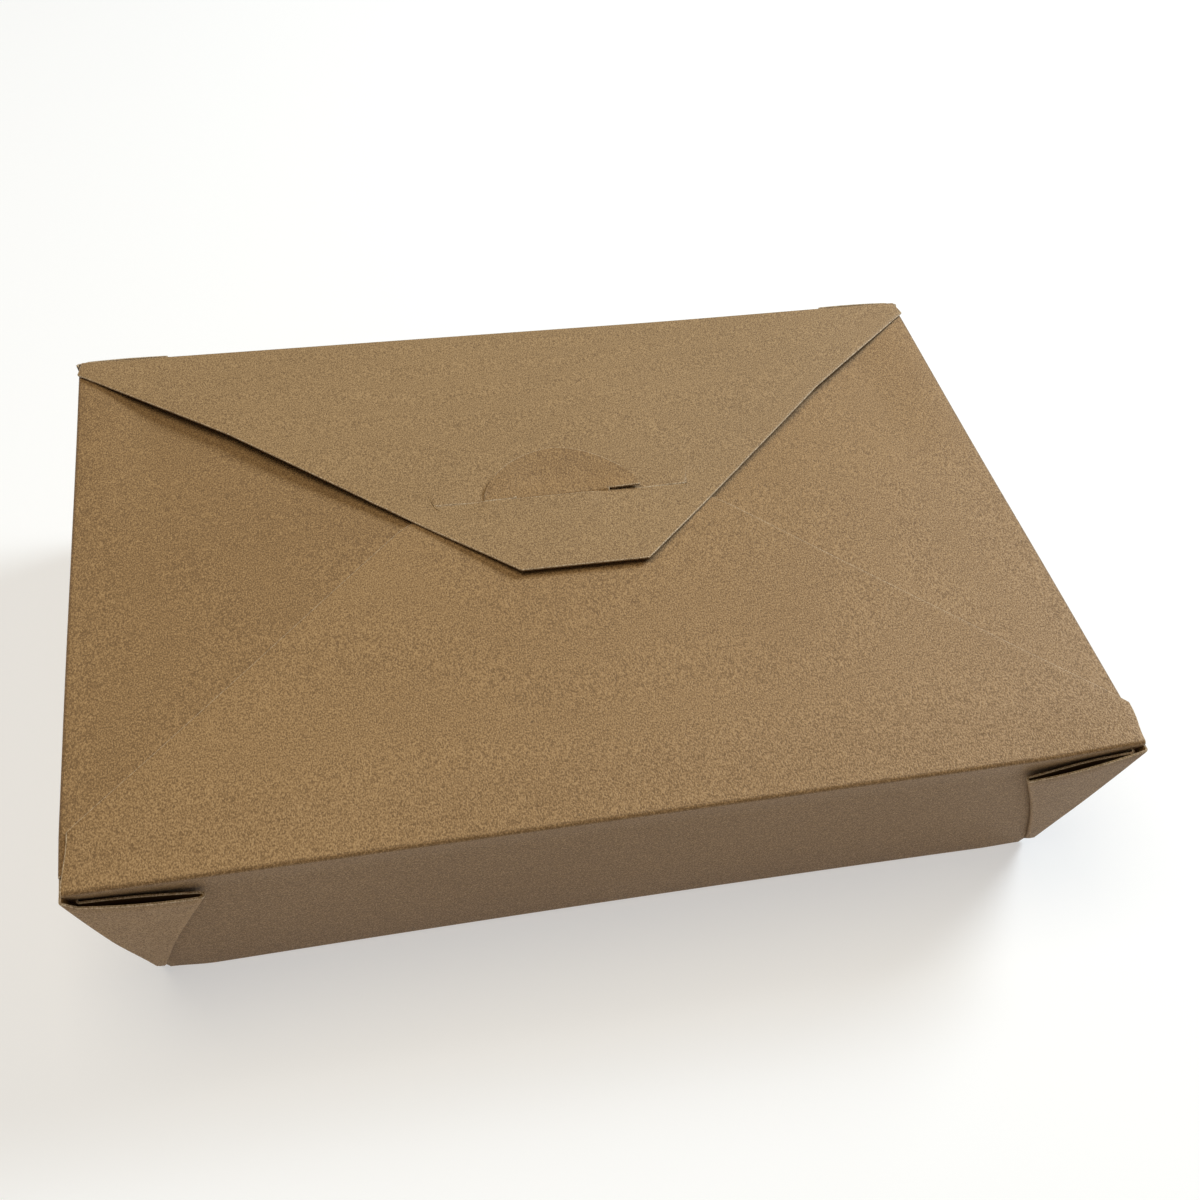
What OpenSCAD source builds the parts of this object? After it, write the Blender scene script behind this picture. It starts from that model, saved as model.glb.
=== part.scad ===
// Folded paper takeout box with flared walls, web corners and a lid flap held by a tongue.
// X runs along the long side, the front is at -Y, and the base rests on Z = 0.

/* [Base and walls] */
// Length of the base, outside
base_l = 197; // [150:1:260]
// Width of the base, outside
base_w = 140; // [120:1:180]
// Height of the walls up to the rim
wall_h = 48; // [35:1:75]
// How far each wall leans out between the base and the rim
flare = 10; // [5:0.5:14]
// Thickness of the paper board
board = 0.5; // [0.35:0.05:0.6]

/* [Web corners] */
// Length of a web's top edge, back from the rim corner
web_top_l = 27; // [18:1:32]
// Depth of a web's top edge below the rim
web_drop = 1.3; // [0.8:0.1:4]
// Air gap between two folded layers of a web
web_gap = 0.5; // [0.3:0.05:0.9]

/* [Side flaps] */
// How far a side flap reaches in from its rim
side_reach = 76; // [70:1:84]
// Width of a side flap's inner end
side_end_w = 40; // [30:1:60]
// Distance from a side flap's ends to the rim corners
side_set = 1.2; // [0.8:0.1:3]

/* [Front flap] */
// How far the front flap reaches back from the front rim, without its tongue
front_reach = 87; // [78:1:92]
// Width of the front flap's rear edge
front_end_w = 74; // [60:1:84]
// Length of the front flap's straight edges along the side rims
front_ear = 12.5; // [8:0.5:18]
// How far the front flap's rear edge rises above its fold
front_rise = 1.6; // [0.8:0.1:2]

/* [Tongue] */
// Width of the half-moon tongue
tongue_w = 37; // [30:1:42]
// Length of the half-moon behind the slit
tongue_l = 15; // [10:1:18]
// Width of the neck that joins the tongue to the front flap
neck_w = 22; // [16:1:26]
// Length over which the neck climbs through the slit
climb_run = 2.8; // [2:0.2:4]

/* [Lid flap] */
// How far the lid flap reaches forward from the rear rim
lid_reach = 94; // [90:1:100]
// Width of the lid flap's tip
tip_w = 29; // [24:1:40]
// Width of the lid flap where its diagonal edges bend
bend_w = 84; // [76:1:96]
// Distance from the rear rim to that bend
bend_reach = 64.5; // [56:0.5:70]
// Length of the lid flap's straight edges along the side rims
lid_ear = 6.5; // [4:0.5:10]
// How far the tip rises above the fold
tip_rise = 2.7; // [2.4:0.1:4]

/* [Slit] */
// Distance from the rear rim to the slit
slit_reach = 68; // [64:0.5:71]
// Length of the slit between its curved ends
slit_l = 54; // [46:1:60]
// Width of the slit
slit_gap = 0.4; // [0.3:0.05:0.6]
// Radius of the slit's curved ends
slit_end_r = 3; // [2:0.5:4]

/* [Clearances] */
// Gap between two flaps that lie on each other
layer_gap = 0.2; // [0.1:0.05:0.3]
// Gap between the lid flap and the flap or rim under it
lid_gap = 0.3; // [0.2:0.05:0.5]
// Gap between the lid flap's rear edge and its fold line
fold_gap = 0.15; // [0.1:0.05:0.3]
// Gap around the tongue in the lid flap
tongue_gap = 0.45; // [0.35:0.05:0.7]

/* [Hidden] */
$fn = 96;

rim_l = base_l + 2 * flare;
rim_w = base_w + 2 * flare;
lean = atan(flare / wall_h);
slope_l = wall_h / cos(lean);
wall_t = board / cos(lean);
far = 2 * (rim_l + rim_w);

// Web corners, in the plane of a long wall: distance along the wall, then up its slope
web_slope_l = slope_l * (1 - web_drop / wall_h);
web_corner = [rim_l / 2 - flare * web_drop / wall_h, web_slope_l];
web_inner = [rim_l / 2 - web_top_l, web_slope_l];
web_foot = [base_l / 2, 0];
web_fold_w = 2 * board;
web_stack = 2 * (web_gap + board);

// Levels of the flaps at their folds
front_under_z = wall_h + layer_gap;
front_top_z = front_under_z + board;
lid_fold_z = front_top_z + lid_gap;
lid_tilt = asin(tip_rise / lid_reach);

// Places along Y
front_y = -rim_w / 2;
rear_y = rim_w / 2;
slit_y = rear_y - slit_reach;
front_end_y = front_y + front_reach;
tongue_end_y = slit_y + tongue_l;

// The half-moon is a circle's segment that stands on the slit
moon_r = (pow(tongue_w / 2, 2) + pow(tongue_l, 2)) / (2 * tongue_l);
moon_y = tongue_end_y - moon_r;

// Height of the front flap's underside at a place along Y
function front_z(y) = front_under_z + front_rise * (y - front_y) / front_reach;

// Height of the tongue's underside at a place along Y, a layer gap above the lid flap
function tongue_z(y) = lid_fold_z + (rear_y - y) * tan(lid_tilt) + board / cos(lid_tilt) + layer_gap / 2;

// Solid block with sides that lean out from l0 by w0 at the bottom to l1 by w1 at the top
module flared_block(l0, w0, l1, w1, z0, z1) {
    intersection() {
        rotate([90, 0, 0])
            linear_extrude(height = far, center = true)
                polygon([[-l0 / 2, z0], [l0 / 2, z0], [l1 / 2, z1], [-l1 / 2, z1]]);
        rotate([90, 0, 90])
            linear_extrude(height = far, center = true)
                polygon([[-w0 / 2, z0], [w0 / 2, z0], [w1 / 2, z1], [-w1 / 2, z1]]);
    }
}

// Base and four flared walls, open at the top
module tray() {
    floor_grow = 2 * flare * board / wall_h;
    wall_cut = 2 * wall_t;
    mouth_z = wall_h + board;
    mouth_grow = 2 * flare * board / wall_h;
    difference() {
        flared_block(base_l, base_w, rim_l, rim_w, 0, wall_h);
        flared_block(base_l - wall_cut + floor_grow, base_w - wall_cut + floor_grow,
                     rim_l - wall_cut + mouth_grow, rim_w - wall_cut + mouth_grow,
                     board, mouth_z);
    }
}

// One web corner, folded flat against the outside of the front wall at +X
module web_corner_layers() {
    fold_in = [web_fold_w, 0];
    translate([0, -base_w / 2, 0])
        rotate([90 + lean, 0, 0]) {
            // Inner layer, next to the wall
            translate([0, 0, web_gap])
                linear_extrude(height = board)
                    polygon([web_foot, web_corner, web_inner]);
            // Outer layer, which continues round from the side wall
            translate([0, 0, 2 * web_gap + board])
                linear_extrude(height = board)
                    polygon([web_foot, web_corner, web_inner]);
            // Fold between the two layers, along their slanted inner edge
            translate([0, 0, web_gap])
                linear_extrude(height = web_stack - web_gap)
                    polygon([web_foot, web_inner + fold_in, web_inner]);
            // Folds along the corner, which join both layers to the walls
            linear_extrude(height = web_stack)
                polygon([web_foot, web_corner, web_corner - [wall_t, 0], web_foot - [wall_t, 0]]);
        }
}

// All four web corners, cut level with the base
module web_corners() {
    intersection() {
        for (mx = [0, 1], my = [0, 1])
            mirror([mx, 0, 0])
                mirror([0, my, 0])
                    web_corner_layers();
        translate([-far / 2, -far / 2, 0])
            cube([far, far, wall_h]);
    }
}

// Left and right flaps, which lie level with the rim under the front and lid flaps
module side_flaps() {
    root_y = rim_w / 2 - side_set;
    for (side = [-1, 1])
        translate([0, 0, wall_h - board])
            linear_extrude(height = board)
                polygon([[side * rim_l / 2, -root_y],
                         [side * rim_l / 2, root_y],
                         [side * (rim_l / 2 - side_reach), side_end_w / 2],
                         [side * (rim_l / 2 - side_reach), -side_end_w / 2]]);
}

// Outline of the half-moon, grown by a clearance
module moon_outline(grow) {
    intersection() {
        translate([0, moon_y])
            circle(r = moon_r + grow);
        translate([-far / 2, slit_y - grow])
            square([far, tongue_l + moon_r]);
    }
}

// Outline of the neck between the front flap and the half-moon, grown by a clearance
module neck_outline(from_y, grow) {
    translate([-neck_w / 2 - grow, from_y])
        square([neck_w + 2 * grow, slit_y + board - from_y]);
}

// Outline of the front flap and its tongue, seen from above
module front_outline() {
    polygon([[-rim_l / 2, front_y],
             [-rim_l / 2, front_y + front_ear],
             [-front_end_w / 2, front_end_y],
             [front_end_w / 2, front_end_y],
             [rim_l / 2, front_y + front_ear],
             [rim_l / 2, front_y]]);
    neck_outline(front_end_y - board, 0);
    moon_outline(0);
}

// Front flap, with the tongue that climbs through the slit and lies on the lid flap
module front_flap() {
    climb_y = slit_y - climb_run / 2;
    top_y = slit_y + climb_run / 2;
    end_y = tongue_end_y + board;
    under = [[front_y, front_z(front_y)],
             [climb_y, front_z(climb_y)],
             [top_y, tongue_z(top_y)],
             [end_y, tongue_z(end_y)]];
    over = [for (i = [len(under) - 1:-1:0]) under[i] + [0, board]];
    intersection() {
        rotate([90, 0, 90])
            linear_extrude(height = far, center = true)
                polygon(concat(under, over));
        translate([0, 0, wall_h])
            linear_extrude(height = wall_h)
                front_outline();
    }
    // Fold that joins the flap to the front wall
    translate([-rim_l / 2, front_y, wall_h - board])
        cube([rim_l, wall_t, front_top_z - wall_h + board]);
}

// Fold along the rear rim, just below the lid flap
module rear_fold() {
    translate([-rim_l / 2, rear_y - wall_t, wall_h - board])
        cube([rim_l, wall_t, lid_fold_z - lid_gap - wall_h + board]);
}

// Folded sheet without its lid flap
module carton() {
    color("#9a7b50") {
        tray();
        web_corners();
        side_flaps();
        front_flap();
        rear_fold();
    }
}

// Curved end of the slit, which turns back towards the rear
module slit_end(side) {
    translate([side * slit_l / 2, slit_y + slit_end_r])
        intersection() {
            difference() {
                circle(r = slit_end_r + slit_gap / 2);
                circle(r = slit_end_r - slit_gap / 2);
            }
            translate([side > 0 ? 0 : -2 * slit_end_r, -2 * slit_end_r])
                square(2 * slit_end_r);
        }
}

// Slit and half-moon window in the lid flap, seen from above
module slit_outline() {
    translate([-slit_l / 2, slit_y - slit_gap / 2])
        square([slit_l, slit_gap]);
    slit_end(-1);
    slit_end(1);
    moon_outline(tongue_gap);
    neck_outline(slit_y - climb_run / 2 - tongue_gap, tongue_gap);
}

// Outline of the lid flap, seen from above
module lid_outline() {
    tip_y = rear_y - lid_reach;
    bend_y = rear_y - bend_reach;
    polygon([[-rim_l / 2, rear_y - fold_gap],
             [-rim_l / 2, rear_y - lid_ear],
             [-bend_w / 2, bend_y],
             [-tip_w / 2, tip_y],
             [tip_w / 2, tip_y],
             [bend_w / 2, bend_y],
             [rim_l / 2, rear_y - lid_ear],
             [rim_l / 2, rear_y - fold_gap]]);
}

// Lid flap, which turns about the rear rim and rises a little towards its tip
module lid_flap() {
    color("#a2855d")
        translate([0, rear_y, lid_fold_z])
            rotate([-lid_tilt, 0, 0])
                translate([0, -rear_y, 0])
                    linear_extrude(height = board)
                        difference() {
                            lid_outline();
                            slit_outline();
                        }
}

carton();
lid_flap();
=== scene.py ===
"""Shallow kraft paper takeout box: one folded sheet of board with its lid flap."""

import logging
import math
from collections.abc import Callable, Iterable
from dataclasses import dataclass, field
from enum import Enum

import bmesh
import bpy
from bmesh.types import BMEdge, BMesh, BMVert
from mathutils import Matrix, Vector, noise

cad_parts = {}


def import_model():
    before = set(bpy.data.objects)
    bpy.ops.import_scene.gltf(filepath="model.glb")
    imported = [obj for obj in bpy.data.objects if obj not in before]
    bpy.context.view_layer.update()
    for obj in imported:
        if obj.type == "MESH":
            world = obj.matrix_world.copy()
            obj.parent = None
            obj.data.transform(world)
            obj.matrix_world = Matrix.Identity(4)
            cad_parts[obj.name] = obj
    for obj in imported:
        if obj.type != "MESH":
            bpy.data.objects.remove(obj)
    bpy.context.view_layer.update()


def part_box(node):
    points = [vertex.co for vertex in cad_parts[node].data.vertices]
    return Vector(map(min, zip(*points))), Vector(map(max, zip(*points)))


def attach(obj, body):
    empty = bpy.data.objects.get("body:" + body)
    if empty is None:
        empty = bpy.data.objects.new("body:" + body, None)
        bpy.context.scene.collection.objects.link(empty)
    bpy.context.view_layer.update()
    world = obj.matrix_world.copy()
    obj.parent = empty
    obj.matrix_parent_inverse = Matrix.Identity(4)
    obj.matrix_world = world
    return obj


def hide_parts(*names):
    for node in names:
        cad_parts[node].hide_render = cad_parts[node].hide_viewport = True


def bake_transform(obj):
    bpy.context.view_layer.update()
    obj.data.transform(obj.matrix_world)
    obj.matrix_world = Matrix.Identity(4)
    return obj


LOG = logging.getLogger("takeout_box")
# One millimetre in metres
MM = 0.001
# Two places nearer than this, in millimetres, count as one
NEAR = 0.01
# Distance in millimetres at which vertices are welded
WELD = 0.02
# An edge sharper than this, in degrees, is a cut and gets a worn arris
CUT_ANGLE = 55
# An edge sharper than this, in degrees, is shaded sharp
SHARP_ANGLE = 50
Place = Callable[[Vector, float], Vector]
Colour = tuple[float, float, float]


class Side(Enum):
    """Material slots of a sheet of board, in the order that its meshes use."""

    OUTSIDE = 0
    INSIDE = 1
    CUT_EDGE = 2
    ARRIS = 3


def smooth_step(low: float, high: float, value: float) -> float:
    """Eases from 0 at low to 1 at high.

    Args:
        low: Where the step starts.
        high: Where the step ends.
        value: Where it is read.

    Returns:
        A share from 0 to 1.
    """
    share = min(1.0, max(0.0, (value - low) / (high - low)))
    return share * share * (3.0 - 2.0 * share)


def mix(start: float, end: float, share: float) -> float:
    """Returns the value that lies the given share of the way from start to end."""
    return start + (end - start) * share


def waves(x: float, y: float, size: float, seed: float) -> float:
    """Returns a soft waviness from about -1 to 1, as sheets of board have.

    Args:
        x: Place along X.
        y: Place along Y.
        size: Length of a wave.
        seed: Number that tells one sheet from another.
    """
    return 2.0 * noise.noise(Vector((x / size, y / size, seed)))


def lifted(place: Vector) -> Vector:
    """Returns a place with the small lift that the rim's rear right corner has."""
    share = smooth_step(30.0, 108.0, place.x) * smooth_step(0.0, 80.0, place.y)
    share *= smooth_step(10.0, 46.0, place.z)
    return place + Vector((0.0, 0.0, 0.65 * share))


@dataclass(frozen=True)
class BoxSizes:
    """Sizes of the folded box in millimetres, as its solids have them.

    Args:
        rim_l: Length of the rim, outside.
        base_l: Length of the base, outside.
        base_w: Width of the base, outside.
        board: Thickness of the board.
    """

    rim_l: float
    base_l: float = 197.0
    base_w: float = 140.0
    board: float = 0.5

    @classmethod
    def from_model(cls) -> "BoxSizes":
        """Returns the sizes, with the rim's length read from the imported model."""
        low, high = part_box("carton")
        return cls(rim_l=(high.x - low.x) / MM)


class Sheet:
    """A sheet of board that grows row by row from an edge, as a blank is folded up.

    The bmesh holds the outside face of the board in millimetres.
    """

    def __init__(self, name: str) -> None:
        """Starts an empty sheet with the given object name."""
        self.name = name
        self.bm: BMesh = bmesh.new()
        # Vertex attribute that carries painted light and shade into the board's colour
        self.painted_light = self.bm.verts.layers.float.new("painted_light")

    def panel(self, columns: int, rows: int, length: float, width: float) -> None:
        """Adds a flat rectangular panel at height 0.

        Args:
            columns: Cells along X.
            rows: Cells along Y.
            length: Size along X.
            width: Size along Y.
        """
        made = bmesh.ops.create_grid(self.bm, x_segments=columns, y_segments=rows, size=0.5)
        bmesh.ops.scale(self.bm, vec=(length, width, 1.0), verts=made["verts"])

    def strip(self, points: Iterable[Vector]) -> list[BMEdge]:
        """Adds a row of edges through the points.

        Args:
            points: Places of the row's vertices.

        Returns:
            The edges, from which a sheet can grow.
        """
        verts = [self.bm.verts.new(point) for point in points]
        return [self.bm.edges.new(pair) for pair in zip(verts, verts[1:])]

    def open_edges(self, test: Callable[[Vector], bool]) -> list[BMEdge]:
        """Returns the border edges whose two ends both pass the test."""
        return [
            edge
            for edge in self.bm.edges
            if len(edge.link_faces) < 2 and all(test(vert.co) for vert in edge.verts)
        ]

    @staticmethod
    def half(row: list[BMEdge], axis: int) -> float:
        """Returns the greatest distance of a row's vertices from the middle, along an axis."""
        return max(abs(vert.co[axis]) for edge in row for vert in edge.verts)

    def shade(self, row: list[BMEdge], painted_light: float) -> None:
        """Sets the painted light and shade of a row, which all that grows from it takes over.

        Args:
            row: The edges.
            painted_light: Painted light and shade on the board's colour, from -1 (deepest painted shade) to
                1 (brightest painted highlight).
        """
        for edge in row:
            for vert in edge.verts:
                vert[self.painted_light] = painted_light

    def grow(self, edges: list[BMEdge], steps: int, place: Place) -> list[BMEdge]:
        """Extrudes a row of edges in steps.

        Args:
            edges: The row to grow from.
            steps: How many rows of faces are added.
            place: Gives a vertex's position from where its column starts and the share of the way.

        Returns:
            The edges of the last row.
        """
        start = {vert: vert.co.copy() for edge in edges for vert in edge.verts}
        for step in range(1, steps + 1):
            made = bmesh.ops.extrude_edge_only(self.bm, edges=edges)["geom"]
            fresh = {item for item in made if isinstance(item, BMVert)}
            moved = {}
            for vert in fresh:
                for edge in vert.link_edges:
                    other = edge.other_vert(vert)
                    if other in start:
                        moved[vert] = start[other]
            for vert, origin in moved.items():
                vert.co = place(origin, step / steps)
            edges = [
                item
                for item in made
                if isinstance(item, BMEdge) and all(vert in fresh for vert in item.verts)
            ]
            start = moved
        return edges

    def fold(self, edges: list[BMEdge], normal: Vector, ahead: Vector, radius: float, turn: float,
             steps: int = 6) -> list[BMEdge]:
        """Bends the sheet away from its outside face, round a straight fold.

        Args:
            edges: The straight row to fold from.
            normal: Outward direction of the face before the fold.
            ahead: Direction in which the face runs on before the fold.
            radius: Radius of the outside face in the bend.
            turn: Angle of the bend in radians.
            steps: Facets of the bend.

        Returns:
            The edges of the last row.
        """
        centre = edges[0].verts[0].co - normal * radius
        geometry = list({vert for edge in edges for vert in edge.verts}) + edges
        made = bmesh.ops.spin(
            self.bm, geom=geometry, cent=centre, axis=normal.cross(ahead), dvec=(0, 0, 0),
            angle=turn, steps=steps, use_merge=False, use_normal_flip=False, use_duplicate=False,
        )
        return [item for item in made["geom_last"] if isinstance(item, BMEdge)]

    def finish(self, board: float, arris: float, outward: Vector, finishes: list[bpy.types.Material]
               ) -> bpy.types.Object:
        """Welds the sheet, gives it its thickness and cut edges, and makes it an object in metres.

        Args:
            board: Thickness of the board in millimetres.
            arris: Size of the worn arris along the cut edges in millimetres.
            outward: Direction that the sheet's faces point to on the whole.
            finishes: Materials in the order of Side.

        Returns:
            The finished object.
        """
        bm = self.bm
        bmesh.ops.remove_doubles(bm, verts=bm.verts, dist=WELD)
        bmesh.ops.recalc_face_normals(bm, faces=bm.faces)
        total = Vector((0.0, 0.0, 0.0))
        for face in bm.faces:
            total += face.normal * face.calc_area()
            face.smooth = True
        if total.dot(outward) < 0:
            bmesh.ops.reverse_faces(bm, faces=bm.faces)
        bmesh.ops.scale(bm, vec=(MM, MM, MM), verts=bm.verts)
        mesh = bpy.data.meshes.new(self.name)
        bm.to_mesh(mesh)
        bm.free()
        piece = bpy.data.objects.new(self.name, mesh)
        bpy.context.scene.collection.objects.link(piece)
        for finish in finishes:
            mesh.materials.append(finish)
        thickness = piece.modifiers.new("board", "SOLIDIFY")
        thickness.thickness = board * MM
        thickness.offset = -1.0
        thickness.material_offset = Side.INSIDE.value
        thickness.material_offset_rim = Side.CUT_EDGE.value
        worn = piece.modifiers.new("arris", "BEVEL")
        worn.width = arris * MM
        worn.segments = 2
        worn.limit_method = "ANGLE"
        worn.angle_limit = math.radians(CUT_ANGLE)
        worn.material = Side.ARRIS.value
        worn.use_clamp_overlap = False
        applied = bpy.data.meshes.new_from_object(
            piece.evaluated_get(bpy.context.evaluated_depsgraph_get())
        )
        # No burr of a cut edge reaches below the table
        for vert in applied.vertices:
            vert.co.z = max(vert.co.z, 0.0)
        piece.modifiers.clear()
        piece.data = applied
        applied.name = self.name
        applied.set_sharp_from_angle(angle=math.radians(SHARP_ANGLE))
        bpy.data.meshes.remove(mesh)
        return piece


class NodeSheet:
    """The nodes of one material, with short ways to add textures and maths."""

    def __init__(self, name: str) -> None:
        """Starts a material with the given name."""
        self.material = bpy.data.materials.new(name)
        self.material.use_nodes = True
        self.nodes = self.material.node_tree.nodes
        self.links = self.material.node_tree.links
        self.shader = self.nodes["Principled BSDF"]
        self.place = self.nodes.new("ShaderNodeTexCoord").outputs["Object"]

    def noise(self, scale: float, detail: float = 2.0, distortion: float = 0.0, seed: float = 0.0,
              stretch: Colour = (1.0, 1.0, 1.0)) -> bpy.types.NodeSocket:
        """Adds a noise.

        Args:
            scale: Cells per metre.
            detail: Octaves.
            distortion: How far the noise is warped.
            seed: Offset that tells one noise from another.
            stretch: Scale along each axis.

        Returns:
            The noise's value, around 0.5.
        """
        mapping = self.nodes.new("ShaderNodeMapping")
        mapping.inputs["Scale"].default_value = stretch
        mapping.inputs["Location"].default_value = (seed, seed * 0.7, seed * 1.3)
        self.links.new(self.place, mapping.inputs["Vector"])
        texture = self.nodes.new("ShaderNodeTexNoise")
        texture.inputs["Scale"].default_value = scale
        texture.inputs["Detail"].default_value = detail
        texture.inputs["Distortion"].default_value = distortion
        self.links.new(mapping.outputs["Vector"], texture.inputs["Vector"])
        return texture.outputs["Fac"]

    def maths(self, kind: str, first: bpy.types.NodeSocket, second: bpy.types.NodeSocket | float = 0.0
              ) -> bpy.types.NodeSocket:
        """Joins two values.

        Args:
            kind: Operation of the Math node.
            first: The first value.
            second: The second value, a socket or a number.

        Returns:
            The result.
        """
        step = self.nodes.new("ShaderNodeMath")
        step.operation = kind
        self.links.new(first, step.inputs[0])
        if isinstance(second, float):
            step.inputs[1].default_value = second
        else:
            self.links.new(second, step.inputs[1])
        return step.outputs[0]

    def spread(self, value: bpy.types.NodeSocket, low: float, high: float, to_low: float, to_high: float
               ) -> bpy.types.NodeSocket:
        """Moves a value from one range to another, without overshoot.

        Args:
            value: The value.
            low: Start of its range.
            high: End of its range.
            to_low: What low becomes.
            to_high: What high becomes.

        Returns:
            The result.
        """
        step = self.nodes.new("ShaderNodeMapRange")
        for key, number in zip(("From Min", "From Max", "To Min", "To Max"), (low, high, to_low, to_high)):
            step.inputs[key].default_value = number
        self.links.new(value, step.inputs["Value"])
        return step.outputs["Result"]

    def strands(self, scale: float, seed: float, width: float) -> bpy.types.NodeSocket:
        """Adds short curved strands, as paper fibres lie.

        Args:
            scale: Strands per metre, roughly.
            seed: Offset that tells one set from another.
            width: Width of a strand, as a share of its spacing.

        Returns:
            1 on a strand and 0 beside it.
        """
        level = self.maths("ABSOLUTE", self.maths("SUBTRACT", self.noise(scale, 1.0, 1.2, seed), 0.5))
        line = self.spread(level, 0.0, width, 1.0, 0.0)
        cut = self.spread(self.noise(scale * 0.8, 1.0, 0.0, seed + 5.0), 0.5, 0.58, 0.0, 1.0)
        return self.maths("MULTIPLY", line, cut)


@dataclass(frozen=True)
class KraftFinish:
    """Uncoated brown board with fine fibres and a soft mottle.

    Args:
        name: Name of the material.
        light: Colour of the light fibres, linear.
        mid: Main colour, linear.
        dark: Colour of the dark fibres, linear.
        speck_and_deep_shade: Colour of the few dark specks, and of the painted shade deep in a fold, linear.
        roughness: Mean roughness.
        relief: Depth of the fibre relief in metres.
        sheen: Weight of the fuzzy sheen.
        shows_painted_light: Whether the painted light and shade of the panels show on it.
    """

    name: str
    light: Colour = (0.405, 0.246, 0.103)
    mid: Colour = (0.280, 0.160, 0.058)
    dark: Colour = (0.162, 0.086, 0.027)
    speck_and_deep_shade: Colour = (0.06, 0.033, 0.012)
    roughness: float = 0.66
    relief: float = 0.00005
    sheen: float = 0.1
    shows_painted_light: bool = True

    def build(self) -> bpy.types.Material:
        """Builds the node material.

        Returns:
            The material.
        """
        sheet = NodeSheet(self.name)
        shader = sheet.shader
        shader.inputs["Sheen Weight"].default_value = self.sheen
        shader.inputs["Sheen Roughness"].default_value = 0.5
        shader.inputs["Specular IOR Level"].default_value = 0.45
        clouds = sheet.spread(sheet.noise(24.0, 3.0), 0.3, 0.7, -0.03, 0.03)
        mottle = sheet.spread(sheet.noise(700.0, 2.0, 0.3, 2.0), 0.3, 0.7, -0.04, 0.04)
        grain = sheet.spread(sheet.noise(3600.0, 1.0, 0.3, 4.0, (1.0, 0.6, 1.0)), 0.25, 0.75, -0.55, 0.55)
        pale = sheet.maths("MULTIPLY", sheet.strands(520.0, 7.0, 0.045), 0.13)
        brown = sheet.maths("MULTIPLY", sheet.strands(430.0, 11.0, 0.040), -0.10)
        fibres = sheet.maths("ADD", pale, brown)
        fine = sheet.maths("ADD", grain, fibres)
        pattern = sheet.maths("ADD", sheet.maths("ADD", clouds, mottle), fine)
        specks = sheet.nodes.new("ShaderNodeTexVoronoi")
        specks.inputs["Scale"].default_value = 95.0
        sheet.links.new(sheet.place, specks.inputs["Vector"])
        specks_and_painted_shade = sheet.spread(specks.outputs["Distance"], 0.015, 0.04, 0.5, 0.0)
        shown = pattern
        # Painted light and shade: the vertex attribute is added to the colour pattern, and its lowest values
        # blend the colour towards the speck colour as painted shade
        if self.shows_painted_light:
            panel = sheet.nodes.new("ShaderNodeAttribute")
            panel.attribute_name = "painted_light"
            shown = sheet.maths("ADD", pattern, panel.outputs["Fac"])
            specks_and_painted_shade = sheet.maths("MAXIMUM", specks_and_painted_shade, sheet.spread(panel.outputs["Fac"], -0.9, -0.3, 0.9, 0.0))

        ramp = sheet.nodes.new("ShaderNodeValToRGB")
        ramp.color_ramp.elements[0].position = 0.1
        ramp.color_ramp.elements[0].color = (*self.dark, 1.0)
        ramp.color_ramp.elements[1].position = 0.9
        ramp.color_ramp.elements[1].color = (*self.light, 1.0)
        middle = ramp.color_ramp.elements.new(0.5)
        middle.color = (*self.mid, 1.0)
        sheet.links.new(sheet.maths("ADD", shown, 0.5), ramp.inputs["Fac"])

        tint = sheet.nodes.new("ShaderNodeMix")
        tint.data_type = "RGBA"
        sheet.links.new(specks_and_painted_shade, tint.inputs["Factor"])
        sheet.links.new(ramp.outputs["Color"], tint.inputs[6])
        tint.inputs[7].default_value = (*self.speck_and_deep_shade, 1.0)
        sheet.links.new(tint.outputs[2], shader.inputs["Base Color"])

        rough = sheet.spread(pattern, -0.3, 0.3, self.roughness + 0.07, self.roughness - 0.07)
        sheet.links.new(rough, shader.inputs["Roughness"])
        bump = sheet.nodes.new("ShaderNodeBump")
        bump.inputs["Strength"].default_value = 1.0
        bump.inputs["Distance"].default_value = self.relief
        sheet.links.new(fine, bump.inputs["Height"])
        sheet.links.new(bump.outputs["Normal"], shader.inputs["Normal"])
        return sheet.material


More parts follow.
